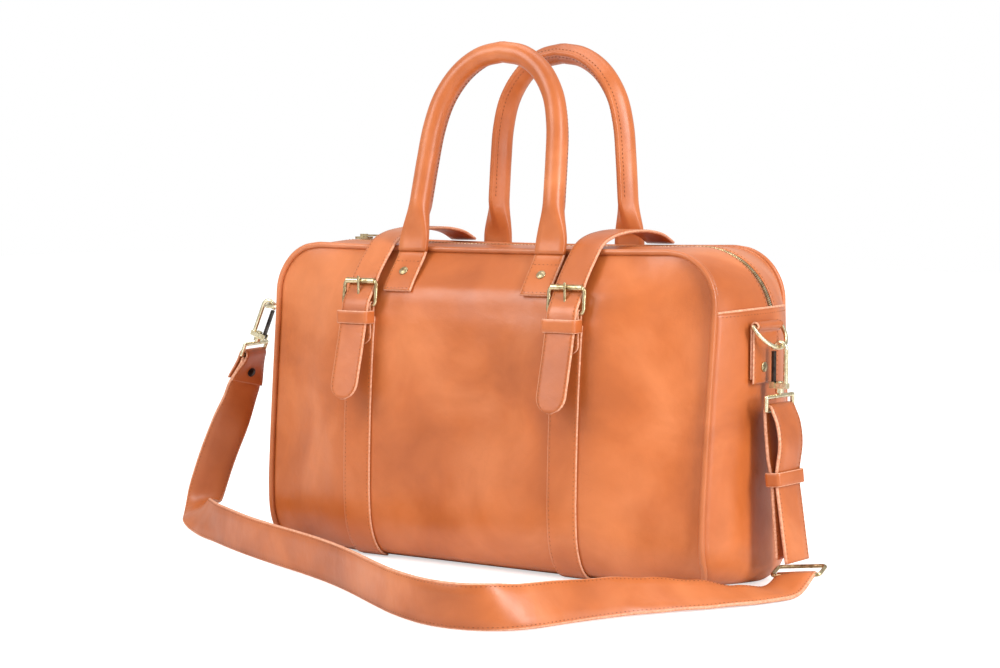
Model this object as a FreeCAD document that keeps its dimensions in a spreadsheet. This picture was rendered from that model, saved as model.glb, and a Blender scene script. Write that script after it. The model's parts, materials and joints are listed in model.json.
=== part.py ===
import FreeCAD, Part
import math
import os

from FreeCAD import Placement, Rotation, Vector

# Weekender bag. Millimetres; X runs along the bag, the front faces -Y, Z is up.
# The origin is on the floor under the middle of the bag.

SIZES = {
    # bag body
    "half_width": 250, "crown_height": 315, "end_bulge": 26, "end_half_depth": 88,
    "flat_half_width": 137, "taper_half_width": 243, "corner_round": 75, "foot_round": 15, "wall": 4, "rim": 5,
    "hem_in": 8, "hem_down": 14,
    "seam_height": 257, "piping_radius": 2.4, "lining_thick": 1.2, "board_thick": 3, "board_gap": 0.4,
    # zip
    "zip_half_width": 9, "teeth_half_width": 2.2, "zip_thick": 1.2, "zip_sink": 1.2,
    "slider_length": 16, "slider_width": 10, "slider_rise": 5.2, "slider_start": -196, "slider_travel": 392,
    "pull_length": 32, "pull_width": 7, "pull_thick": 1.6,
    # leather trims
    "strip_width": 32, "strip_thick": 2.4, "strip_gap": 0.7, "belt_x": 118, "belt_width": 32, "belt_thick": 3,
    "handle_x": 79, "patch_width": 33, "patch_thick": 3, "patch_length": 42,
    # handles
    "handle_pivot_y": 80, "handle_pivot_z": 306, "grip_radius": 11.5, "core_radius": 7, "grip_half_span": 68,
    "grip_bend": 68, "grip_top": 208, "leg_thick": 5, "leg_bottom": 2, "leg_length": 34, "front_lean": 12,
    # buckles
    "frame_half_width": 19, "frame_rod": 1.9, "roller_radius": 3, "roller_y": 114, "roller_z": 278,
    "bar_y": 117, "bar_z": 254, "tab_wrap": 4.6, "tab_front": 121, "tab_back": 117.6, "tab_low": 214,
    "snap_z": 222, "snap_radius": 5, "socket_rise": 0.2, "socket_y": 117.5,
    "keeper_wall": 2, "keeper_low": 236.5, "keeper_high": 249.2,
    "play": 0.1, "prong_radius": 1.3, "slot_half": 2.6,
    # rings, hooks and shoulder strap
    "tab_y": -22, "tab_x": 274.5, "tab_turn": 7.7, "tab_width": 43, "tab_thick": 4.5, "tab_bottom": 190,
    "ring_pivot_z": 243, "ring_pivot_u": 5.3, "ring_radius": 24, "ring_rod": 2, "fold_radius": 5,
    "claw_radius": 6.5, "claw_rod": 2.2, "claw_length": 31, "loop_half_width": 22.5, "loop_height": 12,
    "loop_rod": 2, "strap_width": 40, "strap_thick": 4, "doubled_lean": 6,
    "doubled_length": 140, "doubled_open": 40, "strap_keeper_at": 64, "keeper_tall": 13, "rivet_radius": 4.6, "rivet_rise": 1.6,
}

doc = FreeCAD.newDocument("weekender")
sheet = doc.addObject("Spreadsheet::Sheet", "Sizes")
for row, (alias, value) in enumerate(SIZES.items(), start=1):
    sheet.set(f"A{row}", alias)
    sheet.set(f"B{row}", str(value))
    sheet.setAlias(f"B{row}", alias)
doc.recompute()


def size(alias):
    """One driving dimension, read from the sheet."""
    return float(sheet.get(alias))


nodes = []


def keep(obj, label):
    """Names a sub-part and puts it on the list of files to write."""
    obj.Label = label
    nodes.append(obj)
    return obj


def feature(label, shape, placement=None):
    """A sub-part whose shape needs Part's own functions."""
    obj = doc.addObject("Part::Feature", label)
    obj.Shape = shape
    if placement is not None:
        obj.Placement = placement
    return keep(obj, label)


def bind(obj, **formulas):
    """Binds properties to formulas of the sheet's cells."""
    for prop, formula in formulas.items():
        obj.setExpression(prop, formula)
    return obj


def rod(start, end, radius):
    """A round bar between two points."""
    axis = end.sub(start)
    return Part.makeCylinder(radius, axis.Length, start, axis)


def slab(x0, x1, y0, y1, z0, z1):
    return Part.makeBox(x1 - x0, y1 - y0, z1 - z0, Vector(x0, y0, z0))


def spline(points):
    curve = Part.BSplineCurve()
    curve.interpolate(points)
    return curve.toShape()


def fused(shapes):
    return shapes[0].multiFuse(shapes[1:]).removeSplitter()


# ---------------------------------------------------------------- bag body

# Half-depth and height down the side of the bag: through its middle, and at its two ends.
MIDDLE = ((70, 310), (88, 289), (103, 271), (109, 250), (113, 225), (118, 170), (121, 110), (121.5, 60),
          (117, 30), (104, 9), (83, 0))
END = ((70, 310), (71.5, 289), (73, 271), (74.5, 250), (77, 225), (83, 170), (89, 110), (92.5, 60),
       (90, 30), (78, 9), (57, 0))


def inset(profile, distance):
    """The profile moved towards the inside of the bag."""
    if distance == 0:
        return list(profile)
    moved = [(profile[0][0] - distance, profile[0][1] - distance)]
    for before, here, after in zip(profile, profile[1:], profile[2:]):
        along_y = after[0] - before[0]
        along_z = after[1] - before[1]
        length = math.hypot(along_y, along_z)
        moved.append((here[0] + distance * along_z / length, here[1] - distance * along_y / length))
    moved.append((profile[-1][0], distance))
    return moved


def section(x, profile, distance):
    """Closed outline across the bag at one X."""
    points = inset(profile, distance)
    front = [Vector(x, -depth, height) for depth, height in points]
    back = [Vector(x, depth, height) for depth, height in reversed(points)]
    crown = Vector(x, 0, size("crown_height") - distance)
    edges = [spline(front), Part.makeLine(front[-1], back[0]), spline(back)]
    edges.append(Part.Arc(back[-1], crown, front[0]).toShape())
    return Part.Wire(edges)


def plan_block(distance):
    """Upright block whose two ends bulge outwards."""
    half_chord = size("end_half_depth")
    bulge = size("end_bulge")
    radius = (half_chord ** 2 + bulge ** 2) / (2 * bulge)
    centre = size("half_width") + bulge - radius
    reach = radius - distance
    tall = size("crown_height") + 2 * bulge
    right = Part.makeCylinder(reach, tall, Vector(centre, 0, -bulge))
    left = Part.makeCylinder(reach, tall, Vector(-centre, 0, -bulge))
    middle = slab(-centre, centre, -reach, reach, -bulge, tall - bulge)
    return fused([middle, right, left])


def outline_block(distance):
    """Block across the bag with its four long edges rounded."""
    half = size("half_width") + size("end_bulge") + 2 - distance
    depth = 2 * size("end_half_depth")
    top = size("crown_height") + 1 - distance
    block = slab(-half, half, -depth, depth, distance, top)
    upper = [e for e in block.Edges if abs(e.CenterOfMass.z - top) < 0.1 and abs(e.CenterOfMass.y) < 1]
    block = block.makeFillet(size("corner_round") - distance, upper)
    lower = [e for e in block.Edges if abs(e.CenterOfMass.z - distance) < 0.1 and abs(e.CenterOfMass.y) < 1]
    return block.makeFillet(size("foot_round") - distance, lower)


def body_solid(distance):
    """The whole bag as one solid, its surface moved inwards."""
    reach = size("half_width") + 2 * size("end_bulge")
    taper = size("taper_half_width")
    stations = ((-reach, END), (-taper, END), (-size("flat_half_width"), MIDDLE),
                (size("flat_half_width"), MIDDLE), (taper, END), (reach, END))
    wires = [section(x, profile, distance) for x, profile in stations]
    loft = Part.makeLoft(wires, True, True)
    return loft.common(plan_block(distance)).common(outline_block(distance))


def rim_wedge():
    """Everything between the front and back seams."""
    rim = size("rim")
    front = [Vector(0, -(depth - rim), height) for depth, height in END[:-1]]
    back = [Vector(0, depth - rim, height) for depth, height in reversed(END[:-1])]
    hem_in, hem_down = size("hem_in"), size("hem_down")
    high = Vector(0, 0, 4 * rim)
    corners = [front[-1], front[-1] + Vector(0, hem_in, -hem_down), back[0] + Vector(0, -hem_in, -hem_down), back[0]]
    top = [back[-1], back[-1] + high, front[0] + high, front[0]]
    edges = [spline(front), Part.makePolygon(corners), spline(back), Part.makePolygon(top)]
    reach = 2 * size("half_width")
    face = Part.Face(Part.Wire([e for piece in edges for e in piece.Edges]))
    face.translate(Vector(-reach, 0, 0))
    return face.extrude(Vector(2 * reach, 0, 0))


outer = body_solid(0)
shell = outer.cut(body_solid(size("wall")))
wedge = rim_wedge()
far = 2 * size("half_width")
ring = shell.common(wedge)
walls = shell.cut(wedge)
base_half = size("half_width") - size("foot_round") + 2
feature("front_panel", walls.common(slab(-far, far, -far, 0, -1, far)))
feature("back_panel", walls.common(slab(-far, far, 0, far, -1, far)))
feature("base_panel", ring.common(slab(-base_half, base_half, -far, far, -1, size("foot_round"))))
feature("left_end_panel", ring.common(slab(-far, -base_half, -far, far, -1, size("seam_height"))))
feature("right_end_panel", ring.common(slab(base_half, far, -far, far, -1, size("seam_height"))))
zip_edge = size("zip_half_width")
feature("front_gusset", ring.common(slab(-far, far, -far, -zip_edge, size("seam_height"), far)))
feature("back_gusset", ring.common(slab(-far, far, zip_edge, far, size("seam_height"), far)))

lining_gap = size("wall") + 0.3
lining = body_solid(lining_gap).cut(body_solid(lining_gap + size("lining_thick")))
mouth = slab(-far, far, -zip_edge, zip_edge, size("seam_height"), far)
feature("lining", lining.cut(mouth))
pocket = doc.addObject("Part::Box", "InnerPocket")
bind(pocket, Length="Sizes.half_width * 0.72", Width="Sizes.strip_thick", Height="Sizes.half_width * 0.42")
pocket.Placement = Placement(Vector(-0.36 * size("half_width"), 97, 130), Rotation())
keep(pocket, "inner_pocket")
board = doc.addObject("Part::Box", "BaseBoard")
bind(board, Length="Sizes.half_width * 1.72", Width="124 mm", Height="Sizes.board_thick")
board_rest = lining_gap + size("lining_thick") + size("board_gap")
board.Placement = Placement(Vector(-0.86 * size("half_width"), -62, board_rest), Rotation())
keep(board, "base_board")


# ---------------------------------------------------------------- piping

PIPING = ((247.5, 92.5, 30), (257.3, 72.5, 268), (216, 70.5, 310.5))


def piping(side):
    """Round cord sewn into the edge seam: up one end, over the top and down the other end."""
    radius = size("piping_radius")
    foot, shoulder, top = [Vector(x, side * y, z) for x, y, z in PIPING]
    bend = shoulder.x - top.x
    pieces = []
    for end in (1, -1):
        low = Vector(end * foot.x, foot.y, foot.z)
        high = Vector(end * shoulder.x, shoulder.y, shoulder.z)
        ring_centre = Vector(end * top.x, shoulder.y, shoulder.z)
        corner = Part.makeTorus(bend, radius, ring_centre, Vector(0, 1, 0))
        quarter = slab(*sorted((end * top.x, end * far)), -far, far, shoulder.z, far)
        pieces += [rod(low, high, radius), Part.makeSphere(radius, high), corner.common(quarter)]
    left = Vector(-top.x, shoulder.y, top.z - 0.5)
    right = Vector(top.x, shoulder.y, top.z - 0.5)
    pieces.append(rod(left, right, radius))
    return fused(pieces).cut(outer)


feature("front_piping", piping(-1))
feature("back_piping", piping(1))


# ---------------------------------------------------------------- zip

zip_top = body_solid(size("zip_sink"))
zip_low = body_solid(size("zip_sink") + size("zip_thick"))
teeth_edge = size("teeth_half_width")
tape = zip_top.cut(zip_low)
feature("zip_tape_front", tape.common(slab(-far, far, -zip_edge, -teeth_edge, size("seam_height"), far)))
feature("zip_tape_back", tape.common(slab(-far, far, teeth_edge, zip_edge, size("seam_height"), far)))
teeth = body_solid(size("zip_sink") / 2).cut(body_solid(size("wall") - size("zip_sink") / 2))
feature("zip_teeth_front", teeth.common(slab(-far, far, -teeth_edge, 0, size("seam_height"), far)))
feature("zip_teeth_back", teeth.common(slab(-far, far, 0, teeth_edge, size("seam_height"), far)))

slider_x = size("slider_start")
slider_z = size("crown_height") + 0.3
slider_half = size("slider_length") / 2
slider_side = size("slider_width") / 2
body = slab(slider_x - slider_half, slider_x + slider_half, -slider_side, slider_side, slider_z, slider_z + 2.4)
arch = slab(slider_x - 4, slider_x + 4, -1.5, 1.5, slider_z + 2.4, slider_z + size("slider_rise"))
pin_hole = Part.makeCylinder(1.3, 10, Vector(slider_x, -5, slider_z + 3.8), Vector(0, 1, 0))
feature("zip_slider", body.fuse(arch).cut(pin_hole))
pull_z = slider_z + 3.8
pull_reach = size("pull_length")
plate = slab(slider_x + 5, slider_x + pull_reach, -size("pull_width") / 2, size("pull_width") / 2,
             pull_z - size("pull_thick") / 2, pull_z + size("pull_thick") / 2)
arms = [slab(slider_x - 1, slider_x + 6, y - 0.8, y + 0.8, pull_z - 0.8, pull_z + 0.8) for y in (-2.7, 2.7)]
pin = Part.makeCylinder(1, 7, Vector(slider_x, -3.5, pull_z), Vector(0, 1, 0))
feature("zip_pull", fused([plate, pin] + arms))


# ---------------------------------------------------------------- flat leather along the bag's side


def ribbon(points, thickness, width, x_centre):
    """Leather of even thickness that follows a line of depth and height points, as wide as asked."""
    upper, lower = [], []
    for i, (y, z) in enumerate(points):
        before = points[max(i - 1, 0)]
        after = points[min(i + 1, len(points) - 1)]
        length = math.hypot(after[0] - before[0], after[1] - before[1])
        normal_y = (after[1] - before[1]) / length * thickness / 2
        normal_z = -(after[0] - before[0]) / length * thickness / 2
        upper.append(Vector(x_centre - width / 2, y + normal_y, z + normal_z))
        lower.append(Vector(x_centre - width / 2, y - normal_y, z - normal_z))
    lower.reverse()
    edges = [spline(upper), Part.makeLine(upper[-1], lower[0])]
    edges += [spline(lower), Part.makeLine(lower[-1], upper[0])]
    return Part.Face(Part.Wire(edges)).extrude(Vector(width, 0, 0))


strip_line = inset(MIDDLE, -(size("strip_gap") + size("strip_thick") / 2))[1:-1]
belt_x = size("belt_x")

patch_start = (77.8, 302.8)
patch_end = (106.2, 268)
sockets = []
rivets = []
for name, side in (("left", -1), ("right", 1)):
    front_line = [(-depth, height) for depth, height in strip_line[3:]]
    front_line.insert(0, (-(strip_line[2][0] + 1), 243))
    feature(f"front_strip_{name}", ribbon(front_line, size("strip_thick"), size("strip_width"), side * belt_x))
    back_line = [(depth, height) for depth, height in strip_line]
    back_line.insert(0, (84.6, 298.5))
    feature(f"back_strip_{name}", ribbon(back_line, size("strip_thick"), size("strip_width"), side * belt_x))
    socket = Part.makeCylinder(size("snap_radius"), size("socket_rise"),
                               Vector(side * belt_x, -size("socket_y"), size("snap_z")), Vector(0, 1, 0))
    sockets.append(socket)
feature("snap_sockets", Part.Compound(sockets))

shoulder_y = patch_end[0] - patch_start[0]
shoulder_z = patch_end[1] - patch_start[1]
shoulder_angle = math.degrees(math.atan2(-shoulder_z, shoulder_y))
for name, side in (("front", -1), ("back", 1)):
    patches, studs = [], []
    for x in (-size("handle_x"), size("handle_x")):
        half = size("patch_width") / 2
        thick = size("patch_thick")
        plate = slab(x - half, x + half, 0, size("patch_length"), 0.4, thick)
        rivet = Part.makeCylinder(size("rivet_radius"), size("rivet_rise"),
                                  Vector(x, size("patch_length") / 2, thick))
        turn = Placement(Vector(0, patch_start[0], patch_start[1]), Rotation(Vector(1, 0, 0), -shoulder_angle))
        for piece, group in ((plate, patches), (rivet, studs)):
            piece.Placement = turn
            group.append(piece if side > 0 else piece.mirror(Vector(), Vector(0, 1, 0)))
    feature(f"{name}_handle_patches", Part.Compound(patches))
    rivets += studs


# ---------------------------------------------------------------- handles


def handle_path():
    """Line of the rope inside a handle: up one leg, over the top and down the other leg."""
    span = size("grip_half_span")
    low = size("leg_length") - 6
    shoulder = size("grip_top") - size("grip_radius") - size("grip_bend")
    top = Vector(0, 0, shoulder + span)
    left = Part.makeLine(Vector(-span, 0, low), Vector(-span, 0, shoulder))
    bend = Part.Arc(Vector(-span, 0, shoulder), top, Vector(span, 0, shoulder)).toShape()
    right = Part.makeLine(Vector(span, 0, shoulder), Vector(span, 0, low))
    return Part.Wire([left, bend, right])


def handle_tube(radius):
    path = handle_path()
    start = path.Vertexes[0].Point
    circle = Part.Wire([Part.makeCircle(radius, start, Vector(0, 0, 1))])
    return path.makePipeShell([circle], True, False)


def handle(side, lean):
    """Leather wrap with flattened feet, and the rope core inside it, standing at the pivot."""
    core = handle_tube(size("core_radius"))
    wrap = handle_tube(size("grip_radius"))
    feet = []
    for x in (-size("handle_x"), size("handle_x")):
        half = size("patch_width") / 2 - 0.5
        thick = size("leg_thick") / 2
        feet.append(slab(x - half, x + half, -thick, thick, size("leg_bottom"), size("leg_length")))
    wrap = fused([wrap.cut(core)] + feet).cut(core)
    place = Placement(Vector(0, side * size("handle_pivot_y"), size("handle_pivot_z")),
                      Rotation(Vector(1, 0, 0), side * lean))
    return wrap, core, place


for name, side, lean in (("front", -1, size("front_lean")), ("back", 1, 0)):
    wrap, core, place = handle(side, lean)
    feature(f"{name}_handle_wrap", wrap, place)
    feature(f"{name}_handle_core", core, place)


# ---------------------------------------------------------------- belts and buckles

BELT = ((-147, 163), (-139, 192), (-131, 222), (-125.8, 244), (-124, 251.5), (-122.6, 257.3), (-116, 266.7),
        (-109.7, 275.6), (-104.5, 283.5), (-97, 292.5), (-86, 304), (-72, 316.5), (-52, 323.5), (-26, 327),
        (0, 328), (26, 327), (52, 323), (73, 315))


def buckle_slot(x):
    """Room for the prong through the tongue and the tab."""
    half = size("slot_half")
    return slab(x - half, x + half, -size("tab_front") - 6, -size("roller_y") + 6,
                size("bar_z") - 4, size("roller_z") - 2)


for name, side in (("left", -1), ("right", 1)):
    x = side * belt_x
    half = size("belt_width") / 2
    bar = Vector(x, -size("bar_y"), size("bar_z"))
    roll = Vector(x, -size("roller_y"), size("roller_z"))
    along = Vector(1, 0, 0)
    belt = ribbon(BELT, size("belt_thick"), size("belt_width"), x)
    feature(f"belt_{name}", belt.cut(buckle_slot(x)))

    wrap = Part.makeCylinder(size("tab_wrap"), 2 * half, bar - along * half, along)
    leaf = slab(x - half, x + half, -size("tab_front"), -size("tab_back"), size("tab_low"), size("bar_z"))
    bore = Part.makeCylinder(size("frame_rod") + size("play"), 4 * half, bar - along * 2 * half, along)
    feature(f"buckle_tab_{name}", wrap.fuse(leaf).cut(bore).cut(buckle_slot(x)))

    reach = size("frame_half_width")
    rod_size = size("frame_rod")
    corners = [bar - along * reach, bar + along * reach, roll + along * reach, roll - along * reach]
    sides = [rod(a, b, rod_size) for a, b in zip(corners, corners[1:] + corners[:1])]
    feature(f"buckle_frame_{name}", fused(sides + [Part.makeSphere(rod_size, c) for c in corners]))

    roller_half = reach - rod_size - 0.4
    roller = Part.makeCylinder(size("roller_radius"), 2 * roller_half, roll - along * roller_half, along)
    roller_bore = Part.makeCylinder(rod_size + size("play"), 4 * half, roll - along * 2 * half, along)
    feature(f"buckle_roller_{name}", roller.cut(roller_bore))

    prong_half = size("slot_half") - 0.6
    eye = Part.makeCylinder(size("tab_wrap") - 1, 2 * prong_half, bar - along * prong_half, along)
    lean = Vector(x, -size("roller_y") - size("roller_radius") - size("prong_radius") - 0.1, roll.z + 5)
    finger = rod(Vector(x, -size("bar_y") - 1, size("bar_z") + 2), lean, size("prong_radius"))
    feature(f"buckle_prong_{name}", eye.fuse(finger).cut(bore))

    keeper_wall = size("keeper_wall")
    low, high = size("keeper_low"), size("keeper_high")
    hull = slab(x - half - 0.5 - keeper_wall, x + half + 0.5 + keeper_wall, -131.8, -115.4, low, high)
    hollow = slab(x - half - 0.5, x + half + 0.5, -129.8, -117.4, low - 1, high + 1)
    feature(f"belt_keeper_{name}", hull.cut(hollow))

    cap = Part.makeCylinder(size("snap_radius"), 1.4,
                            Vector(x, -size("tab_front") - 1.4, size("snap_z")), Vector(0, 1, 0))
    feature(f"snap_cap_{name}", cap)


# ---------------------------------------------------------------- rings, hooks and shoulder strap ends


def across(u, z, half, radius):
    """A round bar across the bag's end, at one distance out and one height."""
    return Part.makeCylinder(radius, 2 * half, Vector(u, -half, z), Vector(0, 1, 0))


def ring_shape():
    """D-shaped ring hanging from its straight bar, the bar at the origin."""
    radius, rod_size = size("ring_radius"), size("ring_rod")
    bow = Part.makeTorus(radius, rod_size, Vector(), Vector(1, 0, 0))
    bow = bow.common(slab(-far, far, -far, far, -far, 0))
    ends = [Part.makeSphere(rod_size, Vector(0, y, 0)) for y in (-radius, radius)]
    return fused([across(0, 0, radius, rod_size), bow] + ends)


def hook_shape():
    """Claw, block, cheeks and barrel of a snap hook; the ring's bar is at the origin."""
    bend, rod_size, length = size("claw_radius"), size("claw_rod"), size("claw_length")
    top = Part.makeTorus(bend, rod_size, Vector(0, 0, -2), Vector(0, 1, 0))
    top = top.common(slab(-far, far, -far, far, -2, far))
    spine = rod(Vector(bend, 0, -2), Vector(bend, 0, -2 - length), rod_size)
    low = -2 - length
    block = slab(-3.4, bend + rod_size, -3.4, 3.4, low - 5, low)
    cheeks = [slab(-9, -3.4, *sorted((y, 1.7 * y)), low - 5, low + 1) for y in (-2.6, 2.6)]
    pin = across(-bend, low - 1.5, 4, 1)
    barrel = Part.makeCylinder(4, 4, Vector(0, 0, low - 9))
    stem_bore = Part.makeCylinder(1.8 + size("play"), 20, Vector(0, 0, low - 10))
    return fused([top, spine, block, pin, barrel] + cheeks).cut(stem_bore)


def gate_shape():
    bend, length = size("claw_radius"), size("claw_length")
    low = -2 - length
    knuckle = across(-bend, low - 1.5, 2.3, 2.4)
    bar = slab(-bend - 1.3, -bend + 1.3, -2.2, 2.2, low - 1.5, -3.6)
    return knuckle.fuse(bar).cut(across(-bend, low - 1.5, 5, 1 + size("play")))


def loop_shape():
    """Swivel: a headed stem that turns in the barrel and carries the strap's wide loop."""
    low = -2 - size("claw_length")
    half, rod_size = size("loop_half_width"), size("loop_rod")
    upper, lower = low - 12, low - 12 - size("loop_height")
    corners = [Vector(0, -half, upper), Vector(0, half, upper), Vector(0, half, lower), Vector(0, -half, lower)]
    bars = [rod(a, b, rod_size) for a, b in zip(corners, corners[1:] + corners[:1])]
    stem = rod(Vector(0, 0, upper), Vector(0, 0, low + 1.5), 1.8)
    head = rod(Vector(0, 0, low + 0.3), Vector(0, 0, low + 1.8), 3)
    return fused(bars + [Part.makeSphere(rod_size, c) for c in corners] + [stem, head])


ENDS = {"left": (-1, 180 + size("tab_turn"), 90, 22), "right": (1, -size("tab_turn"), 36, 0)}
for name, (side, turn, ring_angle, hook_angle) in ENDS.items():
    seat = Placement(Vector(side * size("tab_x"), size("tab_y"), 0), Rotation(Vector(0, 0, 1), turn))
    pivot = Vector(size("ring_pivot_u"), 0, size("ring_pivot_z"))
    ring_place = seat.multiply(Placement(pivot, Rotation(Vector(0, 1, 0), -ring_angle)))
    swing = math.radians(ring_angle)
    bow = pivot + Vector(math.sin(swing), 0, -math.cos(swing)) * size("ring_radius")
    hook_place = seat.multiply(Placement(bow, Rotation(Vector(0, 1, 0), -hook_angle)))

    half = size("tab_width") / 2
    plate = slab(0.3, 0.3 + size("tab_thick"), -half, half, size("tab_bottom"), size("ring_pivot_z"))
    fold = across(pivot.x, pivot.z, half - 1, size("fold_radius"))
    feature(f"ring_tab_{name}", plate.fuse(fold).cut(across(pivot.x, pivot.z, 2 * half, 2 + size("play"))), seat)
    rivet = Part.makeCylinder(size("rivet_radius"), size("rivet_rise"),
                              Vector(0.3 + size("tab_thick"), -4, 205), Vector(1, 0, 0))
    rivet.Placement = seat
    rivets.append(rivet)
    feature(f"ring_{name}", ring_shape(), ring_place)
    feature(f"hook_{name}", hook_shape(), hook_place)
    feature(f"hook_gate_{name}", gate_shape(), hook_place)
    feature(f"hook_loop_{name}", loop_shape(), hook_place)


# ---------------------------------------------------------------- shoulder strap

# Centre line of the single length of strap: down from the left hook, then along the floor on its edge.
STRAP_DROP = ((-325.0, -28.8, 186.5), (-338, -30.5, 148), (-354, -32.7, 112), (-370, -34.9, 77), (-383, -36.6, 42))
STRAP_FLOOR = ((-384, -37, 20.8), (-366, -76, 20.8), (-328, -106, 20.8), (-281, -134, 20.8), (-231, -162, 20.8),
               (-178, -187, 20.8), (-123, -210, 20.8), (-72, -234, 20.8), (-24, -262, 20.8), (22, -293, 20.8),
               (68, -322, 20.8), (118, -341, 20.8), (163, -335, 20.8), (189, -303, 20.8), (204, -260, 20.8),
               (222, -220, 20.8), (247, -181, 20.8), (275, -143, 20.8), (300, -104, 20.8), (318, -62, 20.8))
ARC_SHARE = 0.45


def route_wire(points):
    """Straight runs joined by tangent arcs, each arc as large as its two runs allow."""
    corners = [Vector(*point) for point in points]
    edges = []
    start = corners[0]
    for before, here, after in zip(corners, corners[1:], corners[2:]):
        back = (before - here).normalize()
        ahead = (after - here).normalize()
        reach = ARC_SHARE * min((before - here).Length, (after - here).Length)
        half_turn = (math.pi - back.getAngle(ahead)) / 2
        radius = reach / math.tan(half_turn)
        print(f"bend radius {radius:.0f} mm, turn {math.degrees(2 * half_turn):.0f} degrees")
        middle = here + (back + ahead).normalize() * (radius / math.cos(half_turn) - radius)
        arc_start, arc_end = here + back * reach, here + ahead * reach
        edges.append(Part.LineSegment(start, arc_start).toShape())
        edges.append(Part.Arc(arc_start, middle, arc_end).toShape())
        start = arc_end
    edges.append(Part.LineSegment(start, corners[-1]).toShape())
    return Part.Wire(edges)


def strap_band(points, width_axis):
    """Strap of even thickness along a flat route, its width square to that route."""
    path = route_wire(points)
    start = Vector(*points[0])
    along = (Vector(*points[1]) - start).normalize()
    across_way = width_axis.cross(along).normalize() * (size("strap_thick") / 2)
    half = width_axis * (size("strap_width") / 2)
    corners = [start + half + across_way, start - half + across_way, start - half - across_way,
               start + half - across_way]
    sweep = Part.BRepOffsetAPI.MakePipeShell(path)
    sweep.setBiNormalMode(width_axis)
    sweep.add(Part.makePolygon(corners + corners[:1]))
    sweep.build()
    sweep.makeSolid()
    band = sweep.shape()
    expected = path.Length * size("strap_width") * size("strap_thick")
    print(f"strap run {path.Length:.0f} mm, volume share {band.Volume / expected:.3f}")
    return band


strap_half = size("strap_width") / 2
fold_out = size("loop_rod") + 0.4 + size("strap_thick")
loop_low = -2 - size("claw_length") - 12 - size("loop_height")
loop_bars = {o.Label: o.Placement.multVec(Vector(0, 0, loop_low)) for o in nodes if o.Label.startswith("hook_loop")}
bar_axes = {o.Label: o.Placement.Rotation.multVec(Vector(0, 1, 0)) for o in nodes if o.Label.startswith("hook_loop")}


def strap_fold(bar, axis, half):
    """The strap's turn around the loop's lower bar."""
    fold = Part.makeCylinder(fold_out, 2 * half, bar - axis * half, axis)
    return fold, Part.makeCylinder(size("loop_rod") + 0.4, 4 * half, bar - axis * 2 * half, axis)


left_bar, left_axis = loop_bars["hook_loop_left"], bar_axes["hook_loop_left"]
fold, fold_bore = strap_fold(left_bar, left_axis, strap_half)
drop = strap_band(STRAP_DROP, left_axis)
feature("strap_drop_left", fold.fuse(drop).cut(fold_bore))
feature("strap_floor_run", strap_band(STRAP_FLOOR, Vector(0, 0, 1)))

right_bar, right_axis = loop_bars["hook_loop_right"], bar_axes["hook_loop_right"]
doubled_place = Placement(right_bar, Rotation(Vector(0, 0, 1), -size("tab_turn")).multiply(
    Rotation(Vector(0, 1, 0), -size("doubled_lean"))))
doubled = slab(-fold_out, fold_out, -strap_half, strap_half, -size("doubled_length"), 0)
gap = slab(-size("loop_rod") - 0.4, size("loop_rod") + 0.4, -far, far, -size("doubled_open"), 0)
fold = across(0, 0, strap_half, fold_out)
bore = across(0, 0, far, size("loop_rod") + 0.4)
feature("strap_doubled_right", doubled.fuse(fold).cut(bore).cut(gap), doubled_place)

keeper_at = -size("strap_keeper_at")
keeper_half = strap_half + 0.6
keeper_deep = fold_out + 0.5
wall = size("keeper_wall")
hull = slab(-keeper_deep - wall, keeper_deep + wall, -keeper_half - wall, keeper_half + wall,
            keeper_at - size("keeper_tall") / 2, keeper_at + size("keeper_tall") / 2)
hollow = slab(-keeper_deep, keeper_deep, -keeper_half, keeper_half, keeper_at - far, keeper_at + far)
feature("strap_keeper", hull.cut(hollow), doubled_place)

slider_rod = size("loop_rod")
slider_low = -size("doubled_length") - 3 - slider_rod
heights = (slider_low, slider_low - 7, slider_low - 14)
half = size("loop_half_width")
cross_bars = [across(0, z, half, slider_rod) for z in heights]
side_bars = [rod(Vector(0, y, heights[0]), Vector(0, y, heights[-1]), slider_rod) for y in (-half, half)]
ends = [Part.makeSphere(slider_rod, Vector(0, y, z)) for y in (-half, half) for z in (heights[0], heights[-1])]
feature("strap_slider", fused(cross_bars + side_bars + ends), doubled_place)

strap_rivet = Part.makeCylinder(size("rivet_radius"), size("rivet_rise"),
                                Vector(-fold_out, 0, 14 - size("doubled_length")), Vector(-1, 0, 0))
strap_rivet.Placement = doubled_place
feature("strap_rivet", strap_rivet)
feature("rivets", Part.Compound(rivets))

doc.recompute()
print("nodes", len(nodes))
bad = [o.Name for o in doc.Objects if {"Invalid", "Error"} & set(o.State)]
bad += [o.Label for o in nodes if o.Shape.isNull() or not o.Shape.isValid()]
if bad:
    raise RuntimeError("failed: " + ", ".join(bad))
os.makedirs("parts", exist_ok=True)
for obj in nodes:
    obj.Shape.exportStep(os.path.join("parts", obj.Label + ".step"))
    print(obj.Label, len(obj.Shape.Solids), round(obj.Shape.Volume / 1000, 2))
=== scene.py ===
import json
import math

import bmesh
import bpy
from mathutils import Matrix, Vector, noise


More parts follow.
